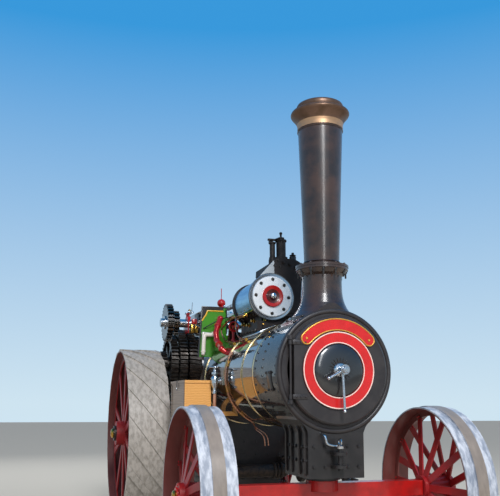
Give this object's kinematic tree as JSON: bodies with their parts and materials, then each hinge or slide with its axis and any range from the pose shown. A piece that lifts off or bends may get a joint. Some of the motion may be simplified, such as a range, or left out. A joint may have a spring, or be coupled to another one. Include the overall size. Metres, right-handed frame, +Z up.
{
  "type": "steam traction engine",
  "caption": "Single-cylinder steam traction engine with a clad boiler, tall capped chimney, spoked iron wheels, gearing and chain steering.",
  "frame": {"origin": "on the ground under the middle of the engine's length and width", "axes": "+X forward along the boiler, +Y to the engine's left, +Z up"},
  "size_m": [4.9819, 2.324, 3.54],
  "materials": {
    "black_paint": "satin black paint",
    "brown_paint": "gloss dark brown paint",
    "green_paint": "gloss green paint, lined",
    "red_paint": "gloss red paint",
    "bright_steel": "polished bare steel",
    "gear_iron": "oiled bare iron",
    "wheel_iron": "worn iron tread, red spokes",
    "chain_iron": "dark forged iron",
    "band_brass": "polished brass",
    "copper_pipe": "bright copper",
    "cap_metal": "tarnished copper",
    "box_wood": "varnished wood"
  },
  "bodies": {
    "engine": {"smokebox": "black_paint", "smokebox_ring": "black_paint", "chimney_base": "black_paint", "chimney": "black_paint", "chimney_cap": "cap_metal", "boiler": "brown_paint", "boiler_bands": "band_brass", "firebox": "black_paint", "hornplates": "green_paint", "spectacle_plate": "green_paint", "cylinder_block": "brown_paint", "cylinder_lagging": "bright_steel", "cylinder_cover": "bright_steel", "safety_valves": "black_paint", "slide_bars": "bright_steel", "crosshead": "bright_steel", "valve_gear": "bright_steel", "crank_bearings": "red_paint", "second_shaft": "gear_iron", "rear_axle": "gear_iron", "perch_bracket": "black_paint", "tender": "green_paint", "drawbar": "black_paint", "steering_gear": "red_paint", "barrel_brackets": "black_paint", "toolbox": "box_wood", "check_valve": "band_brass", "pipework": "copper_pipe", "governor": "red_paint", "controls": "band_brass"},
    "smokebox_door": {"smokebox_door": "black_paint", "door_plates": "red_paint", "door_handles": "bright_steel"},
    "firehole_door": {"firehole_door": "black_paint"},
    "toolbox_lid": {"toolbox_lid": "box_wood"},
    "crankshaft": {"crankshaft": "bright_steel", "flywheel": "red_paint"},
    "connecting_rod": {"connecting_rod": "bright_steel"},
    "eccentric_rod_fore": {"eccentric_rod_fore": "bright_steel"},
    "eccentric_rod_back": {"eccentric_rod_back": "bright_steel"},
    "rear_wheel_left": {"rear_wheel_left": "wheel_iron"},
    "rear_wheel_right": {"rear_wheel_right": "wheel_iron"},
    "front_axle": {"front_axle": "red_paint"},
    "front_wheel_left": {"front_wheel_left": "wheel_iron"},
    "front_wheel_right": {"front_wheel_right": "wheel_iron"},
    "chain_left": {"chain_left": "chain_iron"},
    "chain_right": {"chain_right": "chain_iron"},
    "steer_barrel": {"steer_barrel": "chain_iron"}
  },
  "joints": [
    {"name": "smokebox_door_hinge", "type": "hinge", "parent": "engine", "child": "smokebox_door", "pos_m": [2.169, -0.352, 1.469], "axis": [0, 0, -1], "range_deg": [0, 100]},
    {"name": "firehole_door_hinge", "type": "hinge", "parent": "engine", "child": "firehole_door", "pos_m": [-0.815, -0.19, 1.18], "axis": [0, 0, 1], "range_deg": [0, 110]},
    {"name": "toolbox_lid_hinge", "type": "hinge", "parent": "engine", "child": "toolbox_lid", "pos_m": [0.374, -0.508, 1.413], "axis": [-1, 0, 0], "range_deg": [0, 100]},
    {"name": "crankshaft_turn", "type": "hinge", "parent": "engine", "child": "crankshaft", "pos_m": [-0.631, 0, 2.09], "axis": [0, 1, 0], "continuous": true},
    {"name": "connecting_rod_pin", "type": "hinge", "parent": "crankshaft", "child": "connecting_rod", "pos_m": [-0.47905, -0.133, 2.09371], "axis": [0, 1, 0], "continuous": true},
    {"name": "eccentric_fore_turn", "type": "hinge", "parent": "crankshaft", "child": "eccentric_rod_fore", "pos_m": [-0.65445, 0.029, 2.12841], "axis": [0, 1, 0], "continuous": true},
    {"name": "eccentric_back_turn", "type": "hinge", "parent": "crankshaft", "child": "eccentric_rod_back", "pos_m": [-0.65254, 0.083, 2.05049], "axis": [0, 1, 0], "continuous": true},
    {"name": "rear_wheel_left_roll", "type": "hinge", "parent": "engine", "child": "rear_wheel_left", "pos_m": [-1.041, 0.919, 0.91], "axis": [0, 1, 0], "continuous": true},
    {"name": "rear_wheel_right_roll", "type": "hinge", "parent": "engine", "child": "rear_wheel_right", "pos_m": [-1.041, -0.919, 0.91], "axis": [0, 1, 0], "continuous": true},
    {"name": "steering", "type": "hinge", "parent": "engine", "child": "front_axle", "pos_m": [1.879, 0, 0.612], "axis": [0, 0, 1], "range_deg": [-25, 25]},
    {"name": "front_wheel_left_roll", "type": "hinge", "parent": "front_axle", "child": "front_wheel_left", "pos_m": [1.879, 0.9365, 0.612], "axis": [0, 1, 0], "continuous": true},
    {"name": "front_wheel_right_roll", "type": "hinge", "parent": "front_axle", "child": "front_wheel_right", "pos_m": [1.879, -0.9365, 0.612], "axis": [0, 1, 0], "continuous": true},
    {"name": "chain_left_eye", "type": "hinge", "parent": "front_axle", "child": "chain_left", "pos_m": [1.787, 0.44, 0.612], "axis": [0, 0, 1], "range_deg": [-25, 25]},
    {"name": "chain_right_eye", "type": "hinge", "parent": "front_axle", "child": "chain_right", "pos_m": [1.787, -0.44, 0.612], "axis": [0, 0, 1], "range_deg": [-25, 25]},
    {"name": "steer_barrel_turn", "type": "hinge", "parent": "engine", "child": "steer_barrel", "pos_m": [0.259, 0, 0.6], "axis": [0, 1, 0], "range_deg": [-150, 150]}
  ],
  "couplings": [
    {"joint": "connecting_rod_pin", "follows": "crankshaft_turn", "ratio": -1},
    {"joint": "eccentric_fore_turn", "follows": "crankshaft_turn", "ratio": -1},
    {"joint": "eccentric_back_turn", "follows": "crankshaft_turn", "ratio": -1},
    {"joint": "chain_left_eye", "follows": "steering", "ratio": -1},
    {"joint": "chain_right_eye", "follows": "steering", "ratio": -1},
    {"joint": "steer_barrel_turn", "follows": "steering", "ratio": -5.714}
  ]
}
